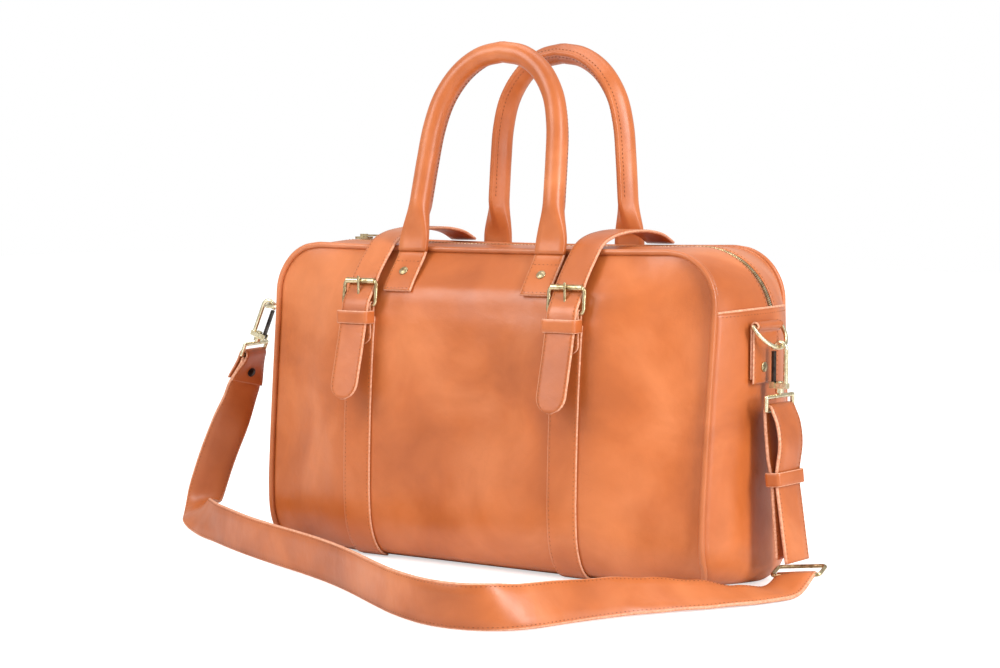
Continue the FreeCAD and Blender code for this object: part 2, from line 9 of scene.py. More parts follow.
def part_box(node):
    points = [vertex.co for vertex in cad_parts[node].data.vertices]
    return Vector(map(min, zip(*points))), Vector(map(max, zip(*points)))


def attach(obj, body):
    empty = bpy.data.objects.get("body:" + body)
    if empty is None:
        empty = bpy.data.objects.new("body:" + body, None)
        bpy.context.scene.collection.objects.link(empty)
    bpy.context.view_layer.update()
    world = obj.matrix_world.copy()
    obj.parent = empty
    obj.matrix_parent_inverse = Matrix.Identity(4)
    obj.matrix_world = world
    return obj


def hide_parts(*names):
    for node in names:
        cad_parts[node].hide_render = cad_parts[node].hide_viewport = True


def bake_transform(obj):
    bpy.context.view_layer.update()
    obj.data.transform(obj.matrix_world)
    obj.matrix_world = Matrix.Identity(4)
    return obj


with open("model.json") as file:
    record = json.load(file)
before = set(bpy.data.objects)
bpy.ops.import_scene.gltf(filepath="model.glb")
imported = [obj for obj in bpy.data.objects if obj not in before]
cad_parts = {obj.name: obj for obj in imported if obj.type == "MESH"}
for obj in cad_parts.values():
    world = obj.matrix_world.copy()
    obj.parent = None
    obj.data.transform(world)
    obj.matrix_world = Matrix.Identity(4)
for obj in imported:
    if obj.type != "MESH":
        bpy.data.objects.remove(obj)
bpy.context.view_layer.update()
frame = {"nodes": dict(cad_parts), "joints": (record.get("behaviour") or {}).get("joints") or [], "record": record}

# A leather weekender bag. Metres; X runs along the bag, the front faces -Y, Z is up.

JOINTS = {joint["name"]: joint for joint in frame["joints"]}
MM = 0.001


# ---- materials


class Nodes:
    """Short ways to add shader nodes to a new material."""

    def __init__(self, name):
        self.material = bpy.data.materials.new(name)
        self.material.use_nodes = True
        self.tree = self.material.node_tree
        self.shader = self.tree.nodes["Principled BSDF"]
        self.place = self.add("ShaderNodeTexCoord").outputs["Object"]

    def add(self, kind, **values):
        node = self.tree.nodes.new(kind)
        for key, value in values.items():
            setattr(node, key, value)
        return node

    def link(self, source, target):
        self.tree.links.new(source, target)

    def noise(self, scale, detail=3.0, distortion=0.0, place=None):
        node = self.add("ShaderNodeTexNoise")
        node.inputs["Scale"].default_value = scale
        node.inputs["Detail"].default_value = detail
        node.inputs["Distortion"].default_value = distortion
        self.link(place or self.place, node.inputs["Vector"])
        return node.outputs["Fac"]

    def ramp(self, value, stops):
        node = self.add("ShaderNodeValToRGB")
        elements = node.color_ramp.elements
        while len(elements) < len(stops):
            elements.new(0.5)
        for element, (position, colour) in zip(elements, stops):
            element.position = position
            element.color = (*colour, 1) if len(colour) == 3 else colour
        self.link(value, node.inputs["Fac"])
        return node.outputs["Color"]

    def span(self, value, low, high, to_low, to_high):
        node = self.add("ShaderNodeMapRange")
        for key, number in (("From Min", low), ("From Max", high), ("To Min", to_low), ("To Max", to_high)):
            node.inputs[key].default_value = number
        self.link(value, node.inputs["Value"])
        return node.outputs["Result"]

    def mix(self, share, first, second, blend="MIX"):
        node = self.add("ShaderNodeMix", data_type="RGBA", blend_type=blend)
        for socket, value in zip((node.inputs[0], node.inputs[6], node.inputs[7]), (share, first, second)):
            if isinstance(value, (int, float)):
                socket.default_value = value
            elif isinstance(value, tuple):
                socket.default_value = (*value, 1)
            else:
                self.link(value, socket)
        return node.outputs[2]

    def bump(self, height, strength, distance, under=None):
        node = self.add("ShaderNodeBump")
        node.inputs["Strength"].default_value = strength
        node.inputs["Distance"].default_value = distance
        self.link(height, node.inputs["Height"])
        if under is not None:
            self.link(under, node.inputs["Normal"])
        return node.outputs["Normal"]

    def set(self, **values):
        for key, value in values.items():
            self.shader.inputs[key.replace("_", " ")].default_value = value


def leather(name, light, middle, dark, roughness=0.36):
    """Smooth waxed leather: mottled colour, fine pores, thin creases with painted shade in them, and uneven gloss.
    """
    n = Nodes(name)
    clouds = n.noise(9, 4, 0.6)
    colour = n.ramp(clouds, ((0.30, dark), (0.50, middle), (0.70, light)))
    patches = n.ramp(n.noise(45, 5, 0.4), ((0.35, (0.90, 0.88, 0.85)), (0.65, (1.04, 1.03, 1.02))))
    colour = n.mix(0.40, colour, patches, "MULTIPLY")
    cells = n.add("ShaderNodeTexVoronoi", feature="DISTANCE_TO_EDGE")
    cells.inputs["Scale"].default_value = 130
    bent = n.add("ShaderNodeVectorMath", operation="ADD")
    warp = n.add("ShaderNodeVectorMath", operation="SCALE")
    warp.inputs["Scale"].default_value = 0.03
    swirl = n.add("ShaderNodeTexNoise")
    swirl.inputs["Scale"].default_value = 22
    n.link(n.place, swirl.inputs["Vector"])
    n.link(swirl.outputs["Color"], warp.inputs[0])
    n.link(n.place, bent.inputs[0])
    n.link(warp.outputs["Vector"], bent.inputs[1])
    n.link(bent.outputs["Vector"], cells.inputs["Vector"])
    # Crease lines: grooves in the bump, and painted shade that darkens the colour a little along them.
    crease = n.span(cells.outputs["Distance"], 0.0, 0.035, 0, 1)
    where = n.ramp(n.noise(13, 2), ((0.50, (0, 0, 0)), (0.66, (1, 1, 1))))
    shade = n.mix(where, (1.0, 1.0, 1.0), crease)
    colour = n.mix(0.05, colour, shade, "MULTIPLY")
    n.link(colour, n.shader.inputs["Base Color"])
    pores = n.add("ShaderNodeTexVoronoi")
    pores.inputs["Scale"].default_value = 900
    n.link(n.place, pores.inputs["Vector"])
    normal = n.bump(pores.outputs["Distance"], 0.10, 0.0003)
    normal = n.bump(shade, 0.08, 0.0003, normal)
    normal = n.bump(n.noise(70, 4, 0.5), 0.16, 0.0022, normal)
    n.link(normal, n.shader.inputs["Normal"])
    gloss = n.span(n.noise(30, 4), 0.3, 0.7, roughness - 0.07, roughness + 0.10)
    n.link(gloss, n.shader.inputs["Roughness"])
    n.set(Specular_IOR_Level=0.42, Coat_Weight=0.12, Coat_Roughness=0.28)
    return n.material


def cut_edge(name):
    """Raw cut edge of the leather, pale and a little fibrous."""
    n = Nodes(name)
    colour = n.ramp(n.noise(420, 4), ((0.3, (0.52, 0.20, 0.10)), (0.7, (0.76, 0.40, 0.25))))
    n.link(colour, n.shader.inputs["Base Color"])
    n.link(n.bump(n.noise(900, 3), 0.25, 0.0003), n.shader.inputs["Normal"])
    n.set(Roughness=0.62)
    return n.material


def thread(name):
    n = Nodes(name)
    colour = n.ramp(n.noise(700, 2), ((0.3, (0.16, 0.045, 0.012)), (0.7, (0.33, 0.11, 0.035))))
    n.link(colour, n.shader.inputs["Base Color"])
    n.link(n.bump(n.noise(2600, 2), 0.4, 0.0002), n.shader.inputs["Normal"])
    n.set(Roughness=0.7)
    return n.material


def metal(name, clean, worn, roughness):
    """Plated metal with tarnish in uneven patches."""
    n = Nodes(name)
    tarnish = n.noise(150, 5, 0.8)
    n.link(n.ramp(tarnish, ((0.36, worn), (0.58, clean))), n.shader.inputs["Base Color"])
    n.link(n.span(tarnish, 0.3, 0.7, roughness + 0.14, roughness - 0.06), n.shader.inputs["Roughness"])
    n.link(n.bump(n.noise(800, 4), 0.12, 0.0002), n.shader.inputs["Normal"])
    n.set(Metallic=1.0)
    return n.material


def woven(name, light, dark, threads):
    """Plain weave, its threads crossing along X and Y or Z, with painted shade in the dips between them."""
    n = Nodes(name)
    weave = []
    for direction in ("X", "Y", "Z"):
        wave = n.add("ShaderNodeTexWave", bands_direction=direction)
        wave.inputs["Scale"].default_value = threads
        wave.inputs["Distortion"].default_value = 0.4
        n.link(n.place, wave.inputs["Vector"])
        weave.append(wave.outputs["Fac"])
    height = n.mix(0.5, weave[0], n.mix(0.5, weave[1], weave[2]))
    # Painted shade: the colour runs from light on the raised threads to dark in the dips between them; the noise
    # adds uneven tone.
    colour = n.mix(n.noise(60, 4), n.mix(height, dark, light), dark)
    n.link(colour, n.shader.inputs["Base Color"])
    n.link(n.bump(height, 0.5, 0.0003), n.shader.inputs["Normal"])
    n.set(Roughness=0.88, Sheen_Weight=0.2)
    return n.material


def plain(name, colour, roughness):
    """Pale studio surface with the least unevenness."""
    n = Nodes(name)
    shade = n.ramp(n.noise(3, 2), ((0.3, tuple(0.985 * c for c in colour)), (0.7, colour)))
    n.link(shade, n.shader.inputs["Base Color"])
    n.set(Roughness=roughness, Specular_IOR_Level=0.5)
    return n.material


TAN = leather("tan_leather", (0.62, 0.190, 0.060), (0.50, 0.130, 0.030), (0.38, 0.090, 0.018))
STRAP_TAN = leather("strap_leather", (0.60, 0.185, 0.060), (0.48, 0.125, 0.030), (0.36, 0.085, 0.017), 0.38)
PIPING_TAN = leather("piping_leather", (0.60, 0.20, 0.08), (0.50, 0.145, 0.045), (0.39, 0.10, 0.025), 0.34)
EDGE = cut_edge("cut_edge")
THREAD = thread("rust_thread")
BRASS = metal("aged_brass", (0.60, 0.50, 0.30), (0.30, 0.21, 0.10), 0.28)
PALE_BRASS = metal("pale_brass", (0.82, 0.74, 0.52), (0.52, 0.43, 0.25), 0.24)
DARK_METAL = metal("dark_metal", (0.07, 0.055, 0.045), (0.025, 0.02, 0.02), 0.32)
TEETH = metal("zip_brass", (0.85, 0.74, 0.48), (0.50, 0.38, 0.20), 0.26)
ZIP_CLOTH = woven("zip_cloth", (0.10, 0.05, 0.03), (0.035, 0.018, 0.010), 1500)
LINING_CLOTH = woven("lining_cloth", (0.34, 0.25, 0.17), (0.20, 0.14, 0.09), 700)
BOARD = woven("fibre_board", (0.16, 0.15, 0.14), (0.08, 0.075, 0.07), 250)
ROPE = woven("rope_core", (0.72, 0.65, 0.52), (0.46, 0.39, 0.28), 420)
SLOT_MATERIALS = {
    "body_leather": TAN, "strap_leather": STRAP_TAN, "piping_leather": PIPING_TAN, "aged_brass": BRASS,
    "dark_metal": DARK_METAL, "zip_metal": TEETH, "zip_cloth": ZIP_CLOTH, "lining_cloth": LINING_CLOTH,
    "stiffener_board": BOARD, "rope_core": ROPE,
}
PALE_NODES = ("ring_left", "ring_right", "hook_left", "hook_right", "hook_loop_left", "hook_loop_right")

for subpart in frame["record"]["subparts"]:
    name = subpart["node"]
    carried = frame["nodes"][name]
    carried.data.materials.clear()
    look = PALE_BRASS if name in PALE_NODES else SLOT_MATERIALS[subpart["material_slot"]]
    carried.data.materials.append(look)


# ---- mesh tools


FLOOR_GAP = 0.2 * MM


def piece(name, verts, faces, materials, body=None, face_materials=None):
    """A mesh object that rides on a body; its faces take their materials by index."""
    mesh = bpy.data.meshes.new(name)
    mesh.from_pydata([(v[0], v[1], max(v[2], FLOOR_GAP)) for v in verts], [], faces)
    for material in materials:
        mesh.materials.append(material)
    if face_materials:
        mesh.polygons.foreach_set("material_index", face_materials)
    mesh.polygons.foreach_set("use_smooth", [True] * len(mesh.polygons))
    mesh.validate()
    work = bmesh.new()
    work.from_mesh(mesh)
    bmesh.ops.recalc_face_normals(work, faces=work.faces)
    work.to_mesh(mesh)
    work.free()
    obj = bpy.data.objects.new(name, mesh)
    bpy.context.scene.collection.objects.link(obj)
    if body:
        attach(obj, body)
    return obj


def smooth_through(points, steps):
    """A smooth line through points of any dimension, with equal steps in each span."""
    def mirrored(a, b):
        return tuple(2 * p - q for p, q in zip(a, b))

    padded = [mirrored(points[0], points[1]), *points, mirrored(points[-1], points[-2])]
    line = []
    for a, b, c, d in zip(padded, padded[1:], padded[2:], padded[3:]):
        for step in range(steps):
            t = step / steps
            line.append(tuple(
                0.5 * (2 * q + (r - p) * t + (2 * p - 5 * q + 4 * r - s) * t * t
                       + (3 * q - p - 3 * r + s) * t ** 3)
                for p, q, r, s in zip(a, b, c, d)))
    line.append(tuple(points[-1]))
    return line


def even(points, step, closed=False):
    """The line cut again into equal steps of about this length."""
    points = [Vector(p) for p in points]
    if closed:
        points.append(points[0])
    lengths = [0.0]
    for a, b in zip(points, points[1:]):
        lengths.append(lengths[-1] + (b - a).length)
    count = max(2, round(lengths[-1] / step))
    line, at = [], 0
    for i in range(count if closed else count + 1):
        want = lengths[-1] * i / count
        while at < len(points) - 2 and lengths[at + 1] < want:
            at += 1
        span = lengths[at + 1] - lengths[at]
        line.append(points[at].lerp(points[at + 1], (want - lengths[at]) / span if span else 0))
    return line


def directions(line, closed=False):
    last = len(line) - 1
    ways = []
    for i in range(len(line)):
        before = line[i - 1] if closed or i else line[0]
        after = line[(i + 1) % len(line)] if closed else line[min(i + 1, last)]
        ways.append((after - before).normalized())
    return ways


def sweep(line, sides, ups, section_at, closed=False):
    """Rows of a section carried along a line. section_at(i) gives (side, up) pairs."""
    verts, faces = [], []
    for i, (centre, side, up) in enumerate(zip(line, sides, ups)):
        section = section_at(i)
        verts += [centre + side * a + up * b for a, b in section]
    around = len(section)
    rows = len(line)
    for i in range(rows if closed else rows - 1):
        for j in range(around):
            k = (j + 1) % around
            n = (i + 1) % rows
            faces.append((i * around + j, i * around + k, n * around + k, n * around + j))
    if not closed:
        faces.append(tuple(reversed(range(around))))
        faces.append(tuple(range((rows - 1) * around, rows * around)))
    return verts, faces


def tube(line, radius, material, name, body, closed=False, sides=12):
    """A round bar along a line."""
    ways = directions(line, closed)
    side = ways[0].orthogonal().normalized()
    frames = []
    for way in ways:
        side = (side - way * side.dot(way)).normalized()
        frames.append((side.copy(), way.cross(side)))
    circle = [(radius * math.cos(2 * math.pi * k / sides), radius * math.sin(2 * math.pi * k / sides))
              for k in range(sides)]
    verts, faces = sweep(line, [f[0] for f in frames], [f[1] for f in frames], lambda i: circle, closed)
    return piece(name, verts, faces, [material], body)


STITCH_PITCH = 4.2 * MM
STITCH_LENGTH = 2.9 * MM
THREAD_HALF, THREAD_RISE, THREAD_SINK = 0.00045, 0.0004, 0.0002


def stitches(name, rows, body):
    """Rows of thread stitches. Each row is a line of points with the surface's outward direction at each."""
    verts, faces = [], []
    for points, outs in rows:
        lengths = [0.0]
        for a, b in zip(points, points[1:]):
            lengths.append(lengths[-1] + (b - a).length)
        count = int(lengths[-1] / STITCH_PITCH)
        at = 0
        for i in range(count):
            want = (i + 0.5) * lengths[-1] / count
            while at < len(points) - 2 and lengths[at + 1] < want:
                at += 1
            way = (points[at + 1] - points[at]).normalized()
            centre = points[at] + way * (want - lengths[at])
            out = outs[at]
            across = way.cross(out).normalized()
            ends = way * (STITCH_LENGTH / 2)
            first = len(verts)
            verts += [centre - ends - out * THREAD_SINK, centre + across * THREAD_HALF,
                      centre + out * THREAD_RISE, centre - across * THREAD_HALF,
                      centre - out * THREAD_RISE, centre + ends - out * THREAD_SINK]
            for a, b in ((1, 2), (2, 3), (3, 4), (4, 1)):
                faces.append((first, first + b, first + a))
                faces.append((first + 5, first + a, first + b))
    return piece(name, verts, faces, [THREAD], body)


def band_section(width, thick, crown=0.0):
    """Section of a leather band: crowned faces and rounded edges. The last flag marks the cut edges."""
    half, up = width / 2, thick / 2
    nick = min(0.42 * thick, 0.0012)
    inner = half - nick
    top = [(inner * (1 - 2 * k / 8), up + crown * (1 - (1 - 2 * k / 8) ** 2)) for k in range(9)]
    left = [(-half, up - nick), (-half, -up + nick)]
    low = [(-a, -b) for a, b in top[::2]]
    right = [(half, -up + nick), (half, up - nick)]
    return top + left + low + right, set(range(8, 11)) | set(range(15, 18))


def band(name, line, sides, width, thick, body, tips=(0, 0), crown=0.0, material=None,
         closed=False, sewn=(1, -1), inset=2.8 * MM, sewn_faces=(1,), skip=(0, 0)):
    """A flat leather strap along a line. tips rounds its ends; sewn rows run inside its edges."""
    ways = directions(line, closed)
    sides = [(s - w * s.dot(w)).normalized() for s, w in zip(sides, ways)]
    ups = [s.cross(w).normalized() for s, w in zip(sides, ways)]
    lengths = [0.0]
    for a, b in zip(line, line[1:]):
        lengths.append(lengths[-1] + (b - a).length)
    section, edge_columns = band_section(width, thick, crown)

    def narrowing(i):
        scale = 1.0
        for rounded, distance in zip(tips, (lengths[i], lengths[-1] - lengths[i])):
            if rounded and distance < rounded:
                scale = min(scale, math.sqrt(max(0.02, 1 - (1 - distance / rounded) ** 2)))
        return scale

    def section_at(i):
        scale = narrowing(i)
        return [(a * scale, b) for a, b in section]

    verts, faces = sweep(line, sides, ups, section_at, closed)
    around = len(section)
    side_faces = len(line) if closed else len(line) - 1
    marks = [1 if j in edge_columns else 0 for _ in range(side_faces) for j in range(around)]
    marks += [1] * (len(faces) - len(marks))
    obj = piece(name, verts, faces, [material or STRAP_TAN, EDGE], body, marks)
    rows = []
    first, last = skip[0], len(line) - skip[1]
    for sign in sewn:
        for face in sewn_faces:
            lift = thick / 2 + crown * 0.2
            points = [line[i] + sides[i] * (sign * max(width / 2 * narrowing(i) - inset, 0))
                      + ups[i] * (face * lift) for i in range(first, last)]
            rows.append((points, [ups[i] * face for i in range(first, last)]))
    if rows and body:
        stitches(name + "_stitching", rows, body)
    return obj, rows


def dome(name, centre, out, radius, rise, material, body):
    """A domed rivet or snap head with a shallow ring round it."""
    side = out.orthogonal().normalized()
    up = out.cross(side)
    rings = ((1.0, 0.0), (1.0, 0.35), (0.93, 0.62), (0.80, 0.66),
             (0.72, 0.60), (0.62, 0.78), (0.35, 0.96), (0.1, 1.0))
    around = 28
    verts, faces = [], []
    for share, height in rings:
        for k in range(around):
            angle = 2 * math.pi * k / around
            spoke = side * math.cos(angle) + up * math.sin(angle)
            verts.append(centre + spoke * radius * share + out * rise * height)
    for i in range(len(rings) - 1):
        for k in range(around):
            n = (k + 1) % around
            faces.append((i * around + k, i * around + n, (i + 1) * around + n, (i + 1) * around + k))
    faces.append(tuple(range((len(rings) - 1) * around, len(rings) * around)))
    faces.append(tuple(reversed(range(around))))
    return piece(name, verts, faces, [material], body)


# ---- bag body

# Half-depth and height down the bag's side: through its middle, and at its ends.
MIDDLE = ((0.070, 0.310), (0.088, 0.289), (0.103, 0.271), (0.109, 0.250), (0.113, 0.225), (0.118, 0.170),
          (0.121, 0.110), (0.1215, 0.060), (0.117, 0.030), (0.104, 0.009), (0.083, 0.0))
END = ((0.070, 0.310), (0.0715, 0.289), (0.073, 0.271), (0.0745, 0.250), (0.077, 0.225), (0.083, 0.170),
       (0.089, 0.110), (0.0925, 0.060), (0.090, 0.030), (0.078, 0.009), (0.057, 0.0))
ROW_STEPS = 11
MIDDLE_LINE = smooth_through(MIDDLE, ROW_STEPS)
END_LINE = smooth_through(END, ROW_STEPS)
ROWS = len(END_LINE)
FLAT_HALF, TAPER_HALF = 0.137, 0.243
CORNER_X, CORNER_Z, CORNER_R = 0.202, 0.262, 0.048
FOOT_R = 0.022
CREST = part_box("back_gusset")[1].z
END_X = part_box("right_end_panel")[1].x
SEAM_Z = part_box("right_end_panel")[1].z
SHELL_THICK = 0.0024


def half_length(height):
    """Half the panel's length at one height: rounded corners, sides leaning out a little."""
    side = 0.2475 + 0.0025 * min(max((height - 0.03) / (CORNER_Z - 0.03), 0), 1)
    if height > CORNER_Z:
        up = min((height - CORNER_Z) / CORNER_R, 1)
        return CORNER_X + CORNER_R * math.sqrt(1 - up * up)
    if height < FOOT_R:
        return side - FOOT_R + math.sqrt(FOOT_R ** 2 - (FOOT_R - height) ** 2)
    return side


def ease(value, low, high):
    t = min(max((value - low) / (high - low), 0), 1)
    return t * t * (3 - 2 * t)


def slack(x, height, side):
    """Soft unevenness of the leather, none under the strips and patches that are sewn to it."""
    reach = abs(x)
    calm = ease(abs(reach - 0.118), 0.022, 0.05) * ease(abs(height - 0.31), 0.01, 0.06)
    calm *= ease(height, 0.0, 0.05) * (1 - ease(reach, 0.225, 0.245))
    waves = noise.noise(Vector((x * 9, side * 3, height * 13)))
    waves += 0.5 * noise.noise(Vector((x * 25, 7, height * 17)))
    return 0.0026 * calm * waves


def top_sag(x):
    return 0.0022 * (1 - (x / 0.2) ** 2) if abs(x) < 0.2 else 0.0


def side_point(x, row, side):
    """A point of the front (-1) or back (1) face."""
    share = ease(abs(x), FLAT_HALF, TAPER_HALF)
    depth = MIDDLE_LINE[row][0] * (1 - share) + END_LINE[row][0] * share
    height = MIDDLE_LINE[row][1] * (1 - share) + END_LINE[row][1] * share
    depth += slack(x, height, side)
    height -= top_sag(x) * ease(height, 0.27, 0.31)
    return Vector((x, side * depth, max(height, 0.0)))


def thickened(name, columns, rows, outer, inward):
    """A sheet of points, given thickness towards the inside and closed round its rim."""
    inner = [p + d * SHELL_THICK for p, d in zip(outer, inward)]
    verts = outer + inner
    total = len(outer)
    faces = []
    for r in range(rows - 1):
        for c in range(columns - 1):
            a = r * columns + c
            quad = (a, a + 1, a + columns + 1, a + columns)
            faces.append(quad)
            faces.append(tuple(reversed([q + total for q in quad])))
    rim = list(range(columns)) + [r * columns + columns - 1 for r in range(1, rows)]
    rim += [(rows - 1) * columns + c for c in range(columns - 2, -1, -1)]
    rim += [r * columns for r in range(rows - 2, 0, -1)]
    for a, b in zip(rim, rim[1:] + rim[:1]):
        faces.append((b, a, a + total, b + total))
    return piece(name, verts, faces, [TAN], "bag")


PANEL_COLUMNS = 170


def panel(side, name, node):
    points, inward = [], []
    for row in range(ROWS):
        reach = half_length(END_LINE[row][1])
        for column in range(PANEL_COLUMNS + 1):
            x = reach * (2 * column / PANEL_COLUMNS - 1)
            points.append(side_point(x, row, side))
            inward.append(Vector((-0.1 * x, -side * 1.0, 0.15 if row > ROWS - 20 else -0.1)).normalized())
    obj = thickened(name, PANEL_COLUMNS + 1, ROWS, points, inward)
    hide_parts(node)


panel(-1, "front_leather", "front_panel")
panel(1, "back_leather", "back_panel")


def rim_line(side):
    """The seam line round a face: up the left end, over the top, down the right end."""
    left = [side_point(-half_length(END_LINE[r][1]), r, side) for r in range(ROWS - 1, -1, -1)]
    reach = half_length(END_LINE[0][1])
    top = [side_point(-reach + 2 * reach * k / 60, 0, side) for k in range(1, 60)]
    right = [side_point(half_length(END_LINE[r][1]), r, side) for r in range(ROWS)]
    return even(left + top + right, 0.0042)


FRONT_RIM = rim_line(-1)
CROWN_CENTRE_X, CROWN_CENTRE_Z, CROWN_R = END_X - 0.075, CREST - 0.075, 0.075


def corner_share(point):
    """How far round the top corner a point of the rim is: 0 on the end, 1 on the top."""
    reach = abs(point.x)
    if point.z <= CROWN_CENTRE_Z:
        return 0.0
    straight = CORNER_Z - CROWN_CENTRE_Z
    whole = straight + CORNER_R * math.pi / 2
    if point.z <= CORNER_Z:
        return (point.z - CROWN_CENTRE_Z) / whole
    if reach <= CORNER_X:
        return 1.0
    return (straight + CORNER_R * math.atan2(point.z - CORNER_Z, reach - CORNER_X)) / whole


def middle_of(point):
    """The point of the gusset's middle line that faces a point of the rim."""
    sign = 1 if point.x >= 0 else -1
    share = corner_share(point)
    if share <= 0:
        foot = 0.015
        x = END_X
        if point.z < foot:
            x = END_X - foot + math.sqrt(foot ** 2 - (foot - point.z) ** 2)
        return Vector((sign * x, 0, point.z))
    if share < 1:
        angle = share * math.pi / 2
        return Vector((sign * (CROWN_CENTRE_X + CROWN_R * math.cos(angle)), 0,
                       CROWN_CENTRE_Z + CROWN_R * math.sin(angle)))
    return Vector((point.x * CROWN_CENTRE_X / CORNER_X, 0, CREST - top_sag(point.x)))


MIDDLES = [middle_of(p) for p in FRONT_RIM]
RIM_COUNT = len(FRONT_RIM)


def band_point(i, across, lift=0.0):
    """A point of the gusset or end: across runs from -1 at the front seam to 1 at the back seam."""
    edge, centre = FRONT_RIM[i], MIDDLES[i]
    half = abs(edge.y)
    share = across * across
    x = centre.x * (1 - share) + edge.x * share
    z = centre.z * (1 - share) + edge.z * share
    wave = 0.0016 * (1 - share) * noise.noise(Vector((x * 14, across * 2.2, z * 15)))
    out = band_out(i)
    on_end = 1 - corner_share(edge)
    return Vector((x, across * half, z)) + out * (lift + wave * on_end)


def band_out(i):
    before, after = MIDDLES[max(i - 1, 0)], MIDDLES[min(i + 1, RIM_COUNT - 1)]
    way = (after - before).normalized()
    return Vector((-way.z, 0, way.x))


def row_at(height, start, step):
    """The first rim row, going from start, whose middle is above this height."""
    i = start
    while MIDDLES[i].z < height:
        i += step
    return i


LEFT_SEAM = row_at(SEAM_Z, 0, 1)
RIGHT_SEAM = row_at(SEAM_Z, RIM_COUNT - 1, -1)
SLOT = 0.0056


def band_piece(name, first, last, low, high, lift, node):
    """Part of the band between two rim rows and two shares across."""
    columns = 25
    points, inward = [], []
    for i in range(first, last + 1):
        half = abs(FRONT_RIM[i].y)
        start = low if abs(low) == 1 else low * SLOT / half
        end = high if abs(high) == 1 else high * SLOT / half
        for c in range(columns):
            points.append(band_point(i, start + (end - start) * c / (columns - 1), lift))
            inward.append(-band_out(i))
    obj = thickened(name, columns, last - first + 1, points, inward)
    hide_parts(node)


HEM_LIFT = 0.0014
band_piece("front_gusset_leather", LEFT_SEAM - 3, RIGHT_SEAM + 3, -1, -1.001, 0, "front_gusset")
band_piece("back_gusset_leather", LEFT_SEAM - 3, RIGHT_SEAM + 3, 1.001, 1, 0, "back_gusset")
band_piece("left_end_leather", 0, LEFT_SEAM, -1, 1, HEM_LIFT, "left_end_panel")
band_piece("right_end_leather", RIGHT_SEAM, RIM_COUNT - 1, -1, 1, HEM_LIFT, "right_end_panel")


def base():
    """The bottom, between the lower edges of the two faces."""
    columns, rows = 61, 13
    reach = half_length(0) + 0.03
    points, inward = [], []
    for r in range(rows):
        for c in range(columns):
            x = reach * (2 * c / (columns - 1) - 1)
            share = ease(abs(x), FLAT_HALF, TAPER_HALF)
            half = MIDDLE[-1][0] * (1 - share) + END[-1][0] * share
            half *= 1.0 - 0.4 * ease(abs(x), 0.235, reach)
            points.append(Vector((x, half * (2 * r / (rows - 1) - 1), 0.0004)))
            inward.append(Vector((0, 0, 1)))
    obj = thickened("base_leather", columns, rows, points, inward)
    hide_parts("base_panel")



LINING_GAP = 0.005


def lining():
    """Cloth just inside the leather, closed at the top and bottom."""
    columns = 48
    levels = range(2, ROWS - 6, 4)
    verts, faces = [], []
    for row in levels:
        reach = half_length(END_LINE[row][1]) - 2 * LINING_GAP
        front = [side_point(reach * (2 * c / columns - 1), row, -1) for c in range(columns + 1)]
        front = [Vector((p.x, p.y + LINING_GAP, p.z)) for p in front]
        verts += front + [Vector((p.x, -p.y, p.z)) for p in reversed(front)]
    around = 2 * (columns + 1)
    for level in range(len(levels) - 1):
        for c in range(around):
            n = (c + 1) % around
            first = level * around
            faces.append((first + c, first + n, first + around + n, first + around + c))
    faces.append(tuple(range(around)))
    faces.append(tuple(reversed(range(len(verts) - around, len(verts)))))
    obj = piece("cloth_lining", verts, faces, [LINING_CLOTH], "bag")
    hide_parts("lining")


base()
lining()

for side, label in ((-1, "front"), (1, "back")):
    rim = FRONT_RIM if side < 0 else [Vector((p.x, -p.y, p.z)) for p in FRONT_RIM]
    outs = [band_out(i) for i in range(RIM_COUNT)]
    cord_line = [p + o * 0.0012 + Vector((0, side * 0.0012, 0)) for p, o in zip(rim, outs)]
    cord_line = [p for p in cord_line if p.z > 0.004]
    piping = tube(cord_line, 0.0029, PIPING_TAN, f"{label}_piping_cord", "bag")
    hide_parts(f"{label}_piping")
    welt = [p + o * 0.0006 - Vector((0, side * 0.0058, 0)) for p, o in zip(rim, outs)]
    welt = [p for p in welt if p.z > 0.004]
    tube(welt, 0.0021, PIPING_TAN, f"{label}_gusset_welt", "bag")

seam_rows = []
for i, step in ((LEFT_SEAM, -1), (RIGHT_SEAM, 1)):
    i += step
    points = [band_point(i, -0.93 + 1.86 * k / 60, HEM_LIFT) for k in range(61)]
    outs = [band_out(i)] * 61
    seam_rows.append((points, outs))
stitches("hem_stitching", seam_rows, "bag")
for i, label in ((LEFT_SEAM, "left"), (RIGHT_SEAM, "right")):
    hem = [band_point(i, -0.99 + 1.98 * k / 50, HEM_LIFT * 0.5) for k in range(51)]
    tube(hem, 0.0012, EDGE, f"{label}_hem_edge", "bag", sides=8)


# ---- zip

TOOTH_PITCH = 0.0019


def zip_run(across, lift):
    """Line along the gusset beside its middle, between the two hems."""
    line = []
    for i in range(LEFT_SEAM - 1, RIGHT_SEAM + 2):
        line.append(band_point(i, across / abs(FRONT_RIM[i].y), lift))
    return line


def zip_teeth(side, label):
    line = even(zip_run(side * 0.0012, -0.0010), TOOTH_PITCH)
    ways = directions(line)
    verts, faces = [], []
    across = Vector((0, 1, 0))
    for centre, way in zip(line, ways):
        out = Vector((-way.z, 0, way.x)).normalized()
        shift = way * (TOOTH_PITCH / 2 if side > 0 else 0)
        first = len(verts)
        for a in (-1, 1):
            for b in (-1, 1):
                for c in (-1, 1):
                    taper = 0.75 if c > 0 else 1
                    verts.append(centre + shift + way * (a * 0.00052 * taper) + across * (b * 0.0017 * taper)
                                 + out * (c * 0.0010))
        for face in ((0, 1, 3, 2), (4, 6, 7, 5), (0, 4, 5, 1), (2, 3, 7, 6), (0, 2, 6, 4), (1, 5, 7, 3)):
            faces.append(tuple(first + f for f in face))
    obj = piece(f"{label}_zip_teeth", verts, faces, [TEETH], "bag")
    obj.data.polygons.foreach_set("use_smooth", [False] * len(obj.data.polygons))
    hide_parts(f"zip_teeth_{label}")


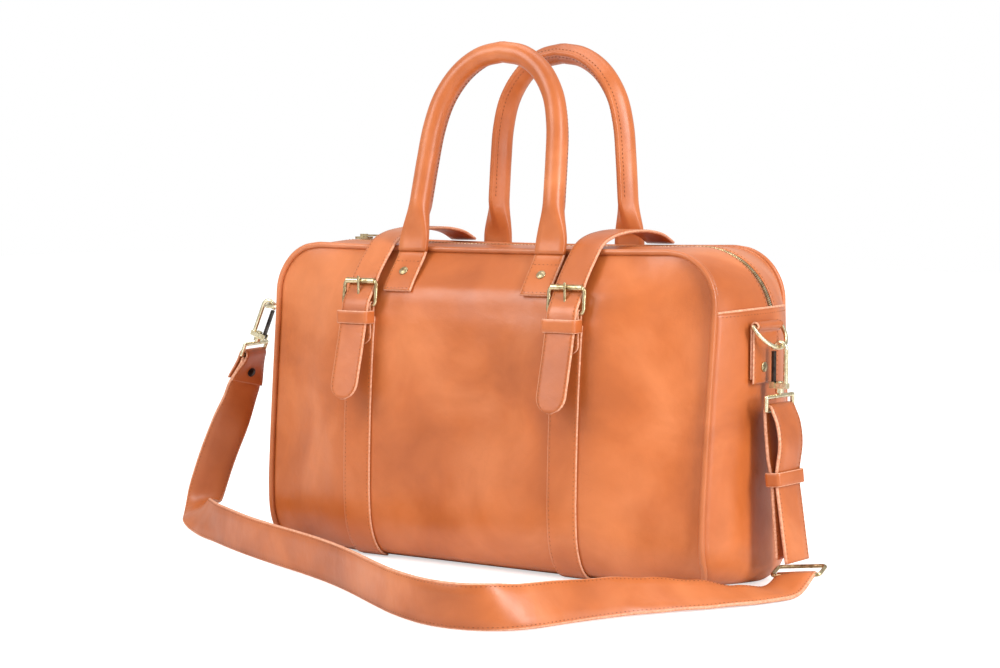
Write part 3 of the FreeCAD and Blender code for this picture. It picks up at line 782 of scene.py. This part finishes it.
def zip_tape(side, label):
    line = even(zip_run(side * 0.0047, -0.0020), 0.004)
    sides = [Vector((0, 1, 0))] * len(line)
    obj, _ = band(f"{label}_zip_tape", line, sides, 0.0072, 0.0009, "bag",
                  material=ZIP_CLOTH, sewn=())
    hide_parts(f"zip_tape_{label}")


for side, label in ((-1, "front"), (1, "back")):
    zip_teeth(side, label)
    zip_tape(side, label)
    outs = [band_out(i) for i in range(LEFT_SEAM - 1, RIGHT_SEAM + 2)]
    stitches(f"{label}_zip_stitching", [(zip_run(side * 0.0082, 0.0001), outs)], "bag")


# ---- strips and handle patches

X_AXIS = Vector((1, 0, 0))
BELT_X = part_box("belt_right")[0].x / 2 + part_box("belt_right")[1].x / 2
STRIP_WIDTH = 0.032


def face_line(points, side):
    """Depth and height points turned into a line on the front or back."""
    return [Vector((0, side * depth, height)) for depth, height in points]


def strip_points(first_height):
    """Line just outside the side of the bag, from one height down to the underside."""
    outward = []
    for before, here, after in zip(MIDDLE_LINE, MIDDLE_LINE[1:], MIDDLE_LINE[2:]):
        along = Vector((after[0] - before[0], after[1] - before[1])).normalized()
        outward.append((here[0] - along.y * 0.0015, here[1] + along.x * 0.0015))
    return [p for p in outward if p[1] < first_height and not (p[1] < 0.003 and p[0] < 0.09)]


for side, label, top in ((-1, "front", 0.243), (1, "back", 0.299)):
    points = [(d, max(z, 0.0014)) for d, z in strip_points(top)]
    for x, hand in ((-BELT_X, "left"), (BELT_X, "right")):
        line = even([p + Vector((x, 0, 0)) for p in face_line(points, side)], 0.004)
        obj, _ = band(f"{label}_{hand}_strip", line, [X_AXIS * side] * len(line), STRIP_WIDTH, 0.0024, "bag",
                      material=TAN, crown=0.0002)
        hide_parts(f"{label}_strip_{hand}")

PATCH_X = 0.079
PATCH_WIDTH = 0.033


def patch(side, x, name):
    """Leather plate on the shoulder that holds one foot of a handle, sewn all round."""
    points = ((0.0795, 0.3065), (0.0835, 0.3000), (0.0925, 0.2895), (0.1010, 0.2790), (0.1080, 0.2690))
    line = even([p + Vector((x, 0, 0)) for p in face_line(smooth_through(points, 8), side)], 0.0025)
    obj, rows = band(name, line, [X_AXIS * side] * len(line), PATCH_WIDTH, 0.0030, "bag",
                     material=TAN, crown=0.0003, skip=(2, 1))
    ways = directions(line)
    cross_rows = []
    for at in (5, len(line) - 2):
        out = (X_AXIS * side).cross(ways[at]).normalized()
        reach = X_AXIS * (PATCH_WIDTH / 2 - 0.0028)
        points = [line[at] + reach * (k / 10 - 1) + out * 0.0018 for k in range(21)]
        cross_rows.append((points, [out] * 21))
    stitches(name + "_cross_stitching", cross_rows, "bag")
    at = len(line) // 2
    out = (X_AXIS * side).cross(ways[at]).normalized()
    rivet = dome(name + "_rivet", line[at] + out * 0.0018, out, 0.0047, 0.0017, BRASS, "bag")
    return obj, rivet


for side, label in ((-1, "front"), (1, "back")):
    plate, rivet = patch(side, -PATCH_X, f"{label}_patch_left")
    patch(side, PATCH_X, f"{label}_patch_right")
    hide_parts(f"{label}_handle_patches")
    if side < 0:
        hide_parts("rivets")


# ---- handles

GRIP = ((-0.079, 0.001), (-0.079, 0.014), (-0.0780, 0.034), (-0.0765, 0.062), (-0.0745, 0.094),
        (-0.0715, 0.126), (-0.0635, 0.156), (-0.0470, 0.181), (-0.0245, 0.1965), (0.0, 0.2015))
TUBE_R = 0.0105
FLANGE = 0.0085


def rolled_section(lip):
    """Rolled leather: a round with a sewn lip that points one way."""
    points = []
    for k in range(21):
        angle = math.radians(35 + 290 * k / 20)
        points.append((TUBE_R * math.sin(angle), lip * TUBE_R * math.cos(angle)))
    tip = lip * (TUBE_R + FLANGE)
    return points + [(-0.0026, tip * 0.93), (-0.0020, tip), (0.0020, tip), (0.0026, tip * 0.93)]


def flat_section(count, lip):
    """The same number of points round a flat plate."""
    points = []
    for k in range(count):
        angle = math.radians(35 + 290 * k / 20) if k < 21 else math.radians(325 + 70 * (k - 20) / 5)
        x, y = math.sin(angle), math.cos(angle)
        power = max(abs(x), abs(y))
        points.append((PATCH_WIDTH / 2 * x / power * 0.98, lip * 0.0026 * y / power))
    return points


def handle(label, side, lean):
    pivot = Vector(JOINTS[f"{label}_handle_fold"]["pos_m"])
    turn = Matrix.Rotation(math.radians(side * lean), 3, "X")
    half = smooth_through(GRIP, 7)
    flat = [Vector((x, 0, z)) for x, z in half]
    whole = even(flat + [Vector((-p.x, 0, p.z)) for p in reversed(flat[:-1])], 0.0035)
    line = [pivot + turn @ p for p in whole]
    lip = -side
    deep = turn @ Vector((0, 1, 0))
    ways = directions(line)
    sides = [deep.cross(w).normalized() for w in ways]
    round_one, flat_one = rolled_section(lip), flat_section(25, lip)

    def section_at(i):
        share = ease(whole[i].z, 0.010, 0.052)
        return [(a[0] * share + b[0] * (1 - share), a[1] * share + b[1] * (1 - share))
                for a, b in zip(round_one, flat_one)]

    verts, faces = sweep(line, sides, [deep] * len(line), section_at)
    obj = piece(f"{label}_handle_leather", verts, faces, [STRAP_TAN], f"{label}_handle")
    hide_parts(f"{label}_handle_wrap", f"{label}_handle_core")
    rows = []
    seat = lip * (TUBE_R + FLANGE * 0.48)
    for sign in (1, -1):
        kept = [i for i in range(len(line)) if whole[i].z > 0.05]
        points = [line[i] + deep * seat + sides[i] * (sign * 0.0042) for i in kept]
        rows.append((points, [sides[i] * sign for i in kept]))
    stitches(f"{label}_handle_stitching", rows, f"{label}_handle")


handle("front", -1, 12)
handle("back", 1, 0)


# ---- belts and buckles

# Depth and height along a belt: from its free tongue, through the buckle and over the top to the back.
BELT = ((-0.147, 0.163), (-0.139, 0.192), (-0.131, 0.222), (-0.1258, 0.244), (-0.124, 0.2515),
        (-0.1226, 0.2573), (-0.116, 0.2667), (-0.1097, 0.2756), (-0.1045, 0.2835), (-0.097, 0.2925),
        (-0.086, 0.304), (-0.072, 0.3165), (-0.052, 0.3235), (-0.026, 0.327), (0, 0.328), (0.026, 0.327),
        (0.052, 0.323), (0.073, 0.315))


def rounded_loop(corners, radius, step=0.0012):
    """Closed line with its corners rounded."""
    line = []
    for before, here, after in zip(corners[-1:] + corners[:-1], corners, corners[1:] + corners[:1]):
        start = here + (before - here).normalized() * radius
        end = here + (after - here).normalized() * radius
        for k in range(7):
            t = k / 6
            line.append(start * (1 - t) ** 2 + here * (2 * t * (1 - t)) + end * t * t)
    return even(line, step, closed=True)


KEEPER_WALL = 0.0009


def keeper(name, corners, radius, up, height, body, node):
    """A leather loop round a strap, through four corners."""
    line = rounded_loop(corners, radius)
    obj, _ = band(name, line, [up] * len(line), height, 0.0018, body, closed=True, sewn=())
    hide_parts(node)


def belt(hand, x):
    body = f"belt_{hand}"
    line = even([Vector((x, y, z)) for y, z in smooth_through(BELT, 6)], 0.0035)
    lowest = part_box(f"belt_{hand}")[0].z
    line = [p for p in line if p.z > lowest - 0.001 or p.y > 0]
    obj, _ = band(f"{hand}_belt_leather", line, [X_AXIS] * len(line), 0.032, 0.0030, body,
                  tips=(0.016, 0), crown=0.0002, skip=(1, 0))
    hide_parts(f"belt_{hand}")

    bar = Vector(JOINTS[f"buckle_prong_tilt_{hand}"]["pos_m"])
    roll = Vector(JOINTS[f"buckle_roller_spin_{hand}"]["pos_m"])
    wide = X_AXIS * 0.019
    frame_line = rounded_loop([bar - wide, bar + wide, roll + wide, roll - wide], 0.0045)
    ring = tube(frame_line, 0.0019, BRASS, f"{hand}_buckle_wire", body, closed=True)
    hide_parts(f"buckle_frame_{hand}")

    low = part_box(f"buckle_tab_{hand}")[0].z
    round_bar = [bar + Vector((0, -0.0034 * math.cos(a), 0.0034 * math.sin(a)))
                 for a in (math.pi * k / 12 for k in range(13))]
    leaf = [Vector((x, bar.y - 0.0026, low + 0.0005 + k * 0.003)) for k in range(12)]
    behind = [Vector((x, bar.y + 0.0030, bar.z - 0.002 - k * 0.003)) for k in range(1, 5)]
    tab_line = even(leaf + round_bar + behind, 0.0016)
    tab, _ = band(f"{hand}_buckle_tab", tab_line, [X_AXIS] * len(tab_line), 0.0318, 0.0020, body,
                  tips=(0.010, 0), inset=0.0024, skip=(3, 8))
    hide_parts(f"buckle_tab_{hand}")

    lo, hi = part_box(f"belt_keeper_{hand}")
    middle = (lo + hi) / 2
    left, right = lo.x + KEEPER_WALL, hi.x - KEEPER_WALL
    front, back = lo.y + KEEPER_WALL, hi.y - KEEPER_WALL
    order = ((left, front), (right, front), (right, back), (left, back))
    corners = [Vector((a, b, middle.z)) for a, b in order]
    keeper(f"{hand}_keeper_leather", corners, 0.0028, Vector((0, 0, 1)), hi.z - lo.z, body,
           f"belt_keeper_{hand}")

    lo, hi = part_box(f"snap_cap_{hand}")
    seat = Vector((x, hi.y, (lo.z + hi.z) / 2))
    head = dome(f"{hand}_snap_head", seat, Vector((0, -1, 0)), (hi.x - lo.x) / 2,
                hi.y - lo.y + 0.0004, DARK_METAL, body)
    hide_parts(f"snap_cap_{hand}")


belt("left", -BELT_X)
belt("right", BELT_X)


# ---- ring tabs

TURN = math.radians(7.7)


def outwards(hand):
    """Directions at one end of the bag: away from it, and along it."""
    sign = 1 if hand == "right" else -1
    sine, cosine = math.sin(TURN), math.cos(TURN)
    return Vector((sign * cosine, -sine, 0)), Vector((sine * sign, cosine, 0))


def ring_tab(hand):
    """Leather folded over the ring's bar, its two layers riveted and sewn to the end."""
    out, along = outwards(hand)
    bar = Vector(JOINTS[f"ring_swing_{hand}"]["pos_m"])
    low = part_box(f"ring_tab_{hand}")[0].z
    front = [Vector((bar.x, bar.y, low + k * 0.003)) - out * 0.0016 for k in range(17)]
    front = [p for p in front if p.z < bar.z - 0.004]
    over = [bar + out * (0.0038 * math.cos(a)) + Vector((0, 0, 0.0038 * math.sin(a)))
            for a in (math.pi * k / 12 for k in range(13))]
    back = [Vector((bar.x, bar.y, bar.z - 0.004 - k * 0.003)) - out * 0.0040 for k in range(16)]
    line = even(front + over + [p for p in back if p.z > low], 0.002)
    obj, _ = band(f"{hand}_ring_tab_leather", line, [along] * len(line), 0.043, 0.0022, "bag",
                  sewn_faces=(-1, 1), skip=(2, 26))
    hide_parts(f"ring_tab_{hand}")
    points = Vector((bar.x, bar.y, low + 0.015)) - out * 0.0005
    dome(f"{hand}_tab_rivet", points - along * 0.004, out, 0.0047, 0.0018, BRASS, "bag")


ring_tab("left")
ring_tab("right")


# ---- shoulder strap

STRAP_WIDTH, STRAP_THICK, STRAP_LENGTH = 0.040, 0.0038, 1.15
FRONT_RIGHT = Vector((0.5, -0.85, 0))
SLIDER_HALF, SLIDER_BACK, SLIDER_REACH = 0.0235, 0.004, 0.016
FOLD_LIFT = 0.0045
STRAP_REST = 0.0006


def loop_bar(hand):
    """Middle of the lower bar of the hook's loop."""
    lo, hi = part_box(f"hook_loop_{hand}")
    rod = 0.002
    if hand == "right":
        return Vector(((lo.x + hi.x) / 2, (lo.y + hi.y) / 2, lo.z + rod))
    return Vector((lo.x + rod + 0.0030, (lo.y + hi.y) / 2, lo.z + rod))


# The strap's own line: down from the left hook, round on the floor in front, and back to the slider.
ROUTE = ((-0.325, -0.0288, 0.1865), (-0.338, -0.0305, 0.148), (-0.354, -0.0327, 0.112),
         (-0.37, -0.0349, 0.077), (-0.383, -0.0366, 0.042), (-0.384, -0.045, 0.0208),
         (-0.366, -0.076, 0.0208), (-0.328, -0.106, 0.0208), (-0.281, -0.134, 0.0208),
         (-0.231, -0.162, 0.0208), (-0.178, -0.187, 0.0208), (-0.123, -0.21, 0.0208),
         (-0.072, -0.234, 0.0208), (-0.024, -0.262, 0.0208), (0.022, -0.293, 0.0208),
         (0.068, -0.322, 0.0208), (0.118, -0.341, 0.0208), (0.163, -0.335, 0.0208),
         (0.189, -0.303, 0.019), (0.204, -0.26, 0.017), (0.222, -0.22, 0.0155),
         (0.247, -0.181, 0.013), (0.275, -0.143, 0.0105), (0.3, -0.104, 0.008),
         (0.318, -0.062, 0.006), (0.315, -0.029, 0.015))
# How the strap's width turns: share of its length, and the way from its lower to its upper edge.
TWIST = ((0.0, (-0.134, 0.991, 0)), (0.034, (0.45, 0.86, 0.15)), (0.08, (0.78, 0.52, 0.22)),
         (0.146, (0.80, 0.50, 0.20)), (0.175, (0.70, 0.45, 0.50)), (0.214, (0.35, 0.25, 0.85)),
         (0.262, (0.10, 0.08, 1.0)), (0.35, (0, 0, 1)), (0.68, (0, 0, 1)), (0.735, (-0.48, 0.10, 0.87)),
         (0.812, (-0.66, 0.20, 0.72)), (0.851, (-0.75, 0.25, 0.60)), (0.892, (-0.83, 0.32, 0.44)),
         (0.932, (-0.90, 0.36, 0.20)), (0.971, (-0.93, 0.35, 0.05)), (1.0, (-0.93, 0.35, 0.0)))


def route_line(points):
    """The points that the strap's NURBS line passes, read from a curve with no bevel."""
    curve = bpy.data.curves.new("strap_route", "CURVE")
    curve.dimensions = "3D"
    curve.resolution_u = 16
    spline = curve.splines.new("NURBS")
    spline.points.add(len(points) - 1)
    for control, point in zip(spline.points, points):
        control.co = (*point, 1)
    spline.order_u = 3
    spline.use_endpoint_u = True
    holder = bpy.data.objects.new("strap_route", curve)
    bpy.context.scene.collection.objects.link(holder)
    mesh = bpy.data.meshes.new_from_object(holder)
    line = [v.co.copy() for v in mesh.vertices]
    bpy.data.objects.remove(holder)
    bpy.data.meshes.remove(mesh)
    return line


def turned_at(share):
    for (a, first), (b, second) in zip(TWIST, TWIST[1:]):
        if share <= b:
            t = (share - a) / (b - a)
            return Vector(first).lerp(Vector(second), t * t * (3 - 2 * t)).normalized()
    return Vector(TWIST[-1][1]).normalized()


def shoulder_strap():
    line = even(route_line(ROUTE), 0.005)
    count = len(line) - 1
    sides = [turned_at(i / count) for i in range(count + 1)]
    ways = directions(line)
    for i, (way, side) in enumerate(zip(ways, sides)):
        side = (side - way * side.dot(way)).normalized()
        up = way.cross(side)
        lowest = line[i].z - abs(side.z) * STRAP_WIDTH / 2 - abs(up.z) * STRAP_THICK / 2
        settle = ease(i / count, 0.17, 0.30) * (1 - ease(i / count, 0.955, 1.0))
        rise = STRAP_REST - lowest
        line[i] = line[i] + Vector((0, 0, rise * settle if lowest > STRAP_REST else rise))
    obj, rows = band("shoulder_strap", line, sides, STRAP_WIDTH, STRAP_THICK, None,
                     sewn_faces=(1, -1), crown=0.0003)
    sewing = stitches("shoulder_strap_stitching", rows, None)
    for made in (obj, sewing):
        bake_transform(made)
    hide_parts("strap_drop_left", "strap_floor_run")
    end, side = line[-1], (sides[-1] - ways[-1] * sides[-1].dot(ways[-1])).normalized()
    near, far = end - ways[-1] * SLIDER_BACK, end + ways[-1] * SLIDER_REACH
    wide = side * SLIDER_HALF
    corners = [near - wide, near + wide, far + wide, far - wide]
    slider = tube(rounded_loop(corners, 0.004), 0.0019, BRASS, "strap_slider_wire", "bag",
                  closed=True)
    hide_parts("strap_slider")


shoulder_strap()


def left_fold():
    """The strap's folded and riveted end round the left hook's loop."""
    bar = loop_bar("left")
    along = outwards("left")[1]
    way = (Vector(ROUTE[1]) - Vector(ROUTE[0])).normalized()
    up = way.cross(along).normalized()

    def layer(distance, lift):
        side = turned_at(distance / STRAP_LENGTH)
        return bar + way * distance + way.cross(side).normalized() * lift

    over = [bar + up * (FOLD_LIFT * math.cos(a)) - way * (FOLD_LIFT * math.sin(a))
            for a in (math.pi * k / 12 for k in range(13))]
    front = [layer(0.003 * k, FOLD_LIFT) for k in range(11, 0, -1)]
    back = [layer(0.003 * k, -FOLD_LIFT) for k in range(1, 11)]
    line = even(front + over + back, 0.002)
    sides = [turned_at(max((p - bar).dot(way), 0) / STRAP_LENGTH) for p in line]
    band("left_strap_fold", line, sides, STRAP_WIDTH, 0.0022, "ring_left",
         sewn_faces=(1, -1), skip=(1, 1))
    face = way.cross(turned_at(0.020 / STRAP_LENGTH)).normalized()
    face = face if face.dot(FRONT_RIGHT) > 0 else -face
    dome("left_fold_rivet", bar + face * 0.0060 + way * 0.020, face, 0.0050, 0.0018, DARK_METAL, "ring_left")


left_fold()


def doubled_strap():
    """Adjuster end at the right: two layers that part at the top and meet in the keeper."""
    bar = loop_bar("right")
    out, along = outwards("right")
    down = Vector(JOINTS["strap_keeper_slide"]["axis"])
    away = down.cross(along).normalized()
    away = away if away.dot(out) > 0 else -away
    near = ((0.004, 0), (0.0048, 0.02), (0.0046, 0.045), (0.0026, 0.064), (0.0032, 0.1), (0.004, 0.138))
    bulged = ((0.004, 0), (0.0085, 0.014), (0.009, 0.034), (0.003, 0.062), (0.0036, 0.09), (0.0062, 0.142))
    front, back = [[bar + away * (sign * d) + down * h for d, h in smooth_through(points, 8)]
                   for sign, points in ((-1, near), (1, bulged))]
    over = [bar - away * (0.004 * math.cos(a)) - down * (0.004 * math.sin(a))
            for a in (math.pi * k / 10 for k in range(1, 10))]
    line = even(list(reversed(front)) + over + back, 0.003)
    obj, rows = band("doubled_strap", line, [along] * len(line), STRAP_WIDTH, 0.0034, None,
                     sewn_faces=(1, -1), crown=0.0003, skip=(1, 1))
    sewing = stitches("doubled_strap_stitching", rows, None)
    for made in (obj, sewing):
        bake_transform(made)
    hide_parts("strap_doubled_right")
    lo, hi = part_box("strap_keeper")
    middle = (lo + hi) / 2
    deep, wide = away * (0.0084 - KEEPER_WALL), along * (0.0226 - KEEPER_WALL)
    corners = [middle - deep - wide, middle + deep - wide, middle + deep + wide, middle - deep + wide]
    keeper("strap_keeper_leather", corners, 0.003, down * -1, 0.013, "strap_keeper", "strap_keeper")


doubled_strap()


# ---- stage

FLOOR_HALF, FLOOR_GLOW = 6, 0.6


def floor_white():
    """White floor with a glow that only the camera sees, so that no horizon shows."""
    white = plain("studio_white", (0.93, 0.93, 0.93), 0.22)
    tree = white.node_tree
    glow = tree.nodes.new("ShaderNodeMapRange")
    glow.inputs["To Min"].default_value, glow.inputs["To Max"].default_value = 0.0, FLOOR_GLOW
    tree.links.new(tree.nodes.new("ShaderNodeLightPath").outputs["Is Camera Ray"], glow.inputs["Value"])
    shader = tree.nodes["Principled BSDF"]
    shader.inputs["Emission Color"].default_value = (1, 1, 1, 1)
    tree.links.new(glow.outputs["Result"], shader.inputs["Emission Strength"])
    return white


floor_corners = [(x * FLOOR_HALF, y * FLOOR_HALF, 0) for x, y in ((-1, -1), (1, -1), (1, 1), (-1, 1))]
floor = piece("studio_floor", floor_corners, [(0, 1, 2, 3)], [floor_white()])
floor.location.z = -2 * FLOOR_GAP

FILL = 0.62
world = bpy.data.worlds.new("studio")
bpy.context.scene.world = world
world.use_nodes = True
background = world.node_tree.nodes["Background"]
background.inputs["Color"].default_value = (1, 1, 1, 1)
seen = world.node_tree.nodes.new("ShaderNodeLightPath")
strength = world.node_tree.nodes.new("ShaderNodeMapRange")
strength.inputs["To Min"].default_value = FILL
strength.inputs["To Max"].default_value = 1.0
world.node_tree.links.new(seen.outputs["Is Camera Ray"], strength.inputs["Value"])
world.node_tree.links.new(strength.outputs["Result"], background.inputs["Strength"])


def softbox(name, place, target, size, power):
    light = bpy.data.lights.new(name, "AREA")
    light.shape = "RECTANGLE"
    light.size, light.size_y = size
    light.energy = power
    holder = bpy.data.objects.new(name, light)
    bpy.context.scene.collection.objects.link(holder)
    holder.location = place
    holder.rotation_euler = (Vector(target) - Vector(place)).to_track_quat("-Z", "Y").to_euler()


softbox("key", (-1.1, -1.9, 1.7), (0, 0, 0.2), (1.4, 1.4), 42)
softbox("side", (2.1, -0.5, 1.1), (0.2, 0, 0.2), (0.5, 1.6), 46)
softbox("top", (0, 0.3, 2.4), (0, 0, 0.2), (2.0, 1.2), 20)

AZIMUTH, ELEVATION, DISTANCE = math.radians(32), math.radians(4.8), 2.0856
TARGET = Vector((-0.02678, 0, 0.20771))
camera = bpy.data.cameras.new("camera")
camera.lens, camera.sensor_width, camera.shift_y = 73.8, 36, 0.0133
viewer = bpy.data.objects.new("camera", camera)
bpy.context.scene.collection.objects.link(viewer)
viewer.location = TARGET + DISTANCE * Vector((math.sin(AZIMUTH) * math.cos(ELEVATION),
                                              -math.cos(AZIMUTH) * math.cos(ELEVATION), math.sin(ELEVATION)))
viewer.rotation_euler = (TARGET - viewer.location).to_track_quat("-Z", "Y").to_euler()
bpy.context.scene.camera = viewer
bpy.context.scene.view_settings.view_transform = "Standard"
